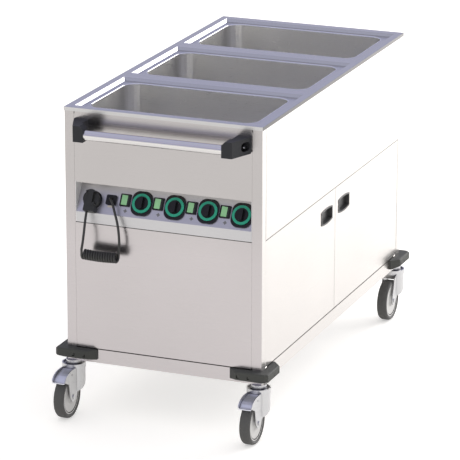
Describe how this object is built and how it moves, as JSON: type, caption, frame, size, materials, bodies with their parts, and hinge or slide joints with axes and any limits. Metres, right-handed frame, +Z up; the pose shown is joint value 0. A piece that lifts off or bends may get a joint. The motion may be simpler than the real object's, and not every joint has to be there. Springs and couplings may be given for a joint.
{
  "type": "heated serving trolley",
  "caption": "Mobile heated trolley: sunk pan wells over a heated cupboard with wing doors, sloped control panel, push bar, corner bumpers, swivel casters and a curly supply lead.",
  "frame": {"origin": "on the floor under the middle of the trolley's bounding box, lead left out", "axes": "+X to the right across the control face, towards the doors; -Y out of the control face, +Y along the length; +Z up"},
  "size_m": [0.644, 1.312, 0.9],
  "materials": {
    "satin_steel": "satin",
    "well_steel": "satin",
    "zinc": "zinc plated",
    "heater_body": "matte",
    "thermostat_body": "matte",
    "bar_tube": "polished",
    "black_plastic": "matte",
    "bumper_plastic": "matte",
    "seal_rubber": "matte",
    "cord_rubber": "satin",
    "wheel_disc": "matte",
    "tyre": "matte",
    "green_rocker": "gloss"
  },
  "bodies": {
    "trolley": {"chassis_frame": "satin_steel", "base_panel": "satin_steel", "corner_posts": "satin_steel", "left_panel": "satin_steel", "right_upper_panel": "satin_steel", "rear_panel": "satin_steel", "front_upper_panel": "satin_steel", "control_panel": "satin_steel", "front_lower_panel": "satin_steel", "top_frame": "satin_steel", "well_front": "well_steel", "well_middle": "well_steel", "well_rear": "well_steel", "heaters": "heater_body", "thermostats": "thermostat_body", "middle_deck": "satin_steel", "cupboard_liner": "satin_steel", "shelf": "satin_steel", "door_hinges": "zinc", "door_catches": "black_plastic", "handle_bar": "bar_tube", "handle_brackets": "black_plastic", "corner_bumpers": "bumper_plastic", "caster_mounts": "zinc", "knob_plates": "black_plastic", "switch_frames": "black_plastic", "plug": "black_plastic", "parking_socket": "black_plastic", "cable_gland": "black_plastic", "cord_left": "cord_rubber", "cord_coil": "cord_rubber", "cord_right": "cord_rubber"},
    "front_door": {"door_front": "satin_steel", "door_front_seal": "seal_rubber", "door_front_pull": "black_plastic"},
    "rear_door": {"door_rear": "satin_steel", "door_rear_seal": "seal_rubber", "door_rear_pull": "black_plastic"},
    "caster_front_left": {"fork_front_left": "zinc"},
    "wheel_front_left": {"wheel_front_left": "wheel_disc", "tyre_front_left": "tyre"},
    "caster_front_right": {"fork_front_right": "zinc"},
    "wheel_front_right": {"wheel_front_right": "wheel_disc", "tyre_front_right": "tyre"},
    "caster_rear_left": {"fork_rear_left": "zinc"},
    "wheel_rear_left": {"wheel_rear_left": "wheel_disc", "tyre_rear_left": "tyre"},
    "caster_rear_right": {"fork_rear_right": "zinc"},
    "wheel_rear_right": {"wheel_rear_right": "wheel_disc", "tyre_rear_right": "tyre"},
    "pedal_left": {"brake_pedal_left": "zinc"},
    "pedal_right": {"brake_pedal_right": "zinc"},
    "thermostat_knob_1": {"knob_1": "black_plastic"},
    "thermostat_knob_2": {"knob_2": "black_plastic"},
    "thermostat_knob_3": {"knob_3": "black_plastic"},
    "thermostat_knob_4": {"knob_4": "black_plastic"},
    "switch_rocker_1": {"rocker_1": "green_rocker"},
    "switch_rocker_2": {"rocker_2": "green_rocker"},
    "switch_rocker_3": {"rocker_3": "green_rocker"},
    "switch_rocker_4": {"rocker_4": "green_rocker"}
  },
  "joints": [
    {"name": "front_door_hinge", "type": "hinge", "parent": "trolley", "child": "front_door", "pos_m": [0.2895, -0.5215, 0.386], "axis": [0, 0, -1], "range_deg": [0, 110]},
    {"name": "rear_door_hinge", "type": "hinge", "parent": "trolley", "child": "rear_door", "pos_m": [0.2895, 0.5935, 0.386], "axis": [0, 0, 1], "range_deg": [0, 110]},
    {"name": "caster_swivel_front_left", "type": "hinge", "parent": "trolley", "child": "caster_front_left", "pos_m": [-0.2815, -0.5435, 0.14], "axis": [0, 0, 1], "continuous": true},
    {"name": "wheel_spin_front_left", "type": "hinge", "parent": "caster_front_left", "child": "wheel_front_left", "pos_m": [-0.2815, -0.5935, 0.0625], "axis": [1, 0, 0], "continuous": true},
    {"name": "caster_swivel_front_right", "type": "hinge", "parent": "trolley", "child": "caster_front_right", "pos_m": [0.2815, -0.5435, 0.14], "axis": [0, 0, 1], "continuous": true},
    {"name": "wheel_spin_front_right", "type": "hinge", "parent": "caster_front_right", "child": "wheel_front_right", "pos_m": [0.2815, -0.5935, 0.0625], "axis": [1, 0, 0], "continuous": true},
    {"name": "caster_swivel_rear_left", "type": "hinge", "parent": "trolley", "child": "caster_rear_left", "pos_m": [-0.2815, 0.6155, 0.14], "axis": [0, 0, 1], "continuous": true},
    {"name": "wheel_spin_rear_left", "type": "hinge", "parent": "caster_rear_left", "child": "wheel_rear_left", "pos_m": [-0.2815, 0.5655, 0.0625], "axis": [1, 0, 0], "continuous": true},
    {"name": "caster_swivel_rear_right", "type": "hinge", "parent": "trolley", "child": "caster_rear_right", "pos_m": [0.2815, 0.6155, 0.14], "axis": [0, 0, 1], "continuous": true},
    {"name": "wheel_spin_rear_right", "type": "hinge", "parent": "caster_rear_right", "child": "wheel_rear_right", "pos_m": [0.2815, 0.5655, 0.0625], "axis": [1, 0, 0], "continuous": true},
    {"name": "brake_pedal_press_left", "type": "hinge", "parent": "caster_front_left", "child": "pedal_left", "pos_m": [-0.2815, -0.5675, 0.1307], "axis": [1, 0, 0], "range_deg": [0, 5]},
    {"name": "brake_pedal_press_right", "type": "hinge", "parent": "caster_front_right", "child": "pedal_right", "pos_m": [0.2815, -0.5675, 0.1307], "axis": [1, 0, 0], "range_deg": [0, 5]},
    {"name": "knob_turn_1", "type": "hinge", "parent": "trolley", "child": "thermostat_knob_1", "pos_m": [-0.071, -0.53878, 0.64013], "axis": [0, 0.8588, -0.5123], "range_deg": [0, 270]},
    {"name": "knob_turn_2", "type": "hinge", "parent": "trolley", "child": "thermostat_knob_2", "pos_m": [0.02839, -0.53878, 0.64013], "axis": [0, 0.8588, -0.5123], "range_deg": [0, 270]},
    {"name": "knob_turn_3", "type": "hinge", "parent": "trolley", "child": "thermostat_knob_3", "pos_m": [0.12779, -0.53878, 0.64013], "axis": [0, 0.8588, -0.5123], "range_deg": [0, 270]},
    {"name": "knob_turn_4", "type": "hinge", "parent": "trolley", "child": "thermostat_knob_4", "pos_m": [0.22718, -0.53878, 0.64013], "axis": [0, 0.8588, -0.5123], "range_deg": [0, 270]},
    {"name": "rocker_tip_1", "type": "hinge", "parent": "trolley", "child": "switch_rocker_1", "pos_m": [-0.1215, -0.53046, 0.64041], "axis": [0, -0.5123, -0.8588], "range_deg": [0, 14]},
    {"name": "rocker_tip_2", "type": "hinge", "parent": "trolley", "child": "switch_rocker_2", "pos_m": [-0.0221, -0.53046, 0.64041], "axis": [0, -0.5123, -0.8588], "range_deg": [0, 14]},
    {"name": "rocker_tip_3", "type": "hinge", "parent": "trolley", "child": "switch_rocker_3", "pos_m": [0.0773, -0.53046, 0.64041], "axis": [0, -0.5123, -0.8588], "range_deg": [0, 14]},
    {"name": "rocker_tip_4", "type": "hinge", "parent": "trolley", "child": "switch_rocker_4", "pos_m": [0.17669, -0.53046, 0.64041], "axis": [0, -0.5123, -0.8588], "range_deg": [0, 14]}
  ]
}
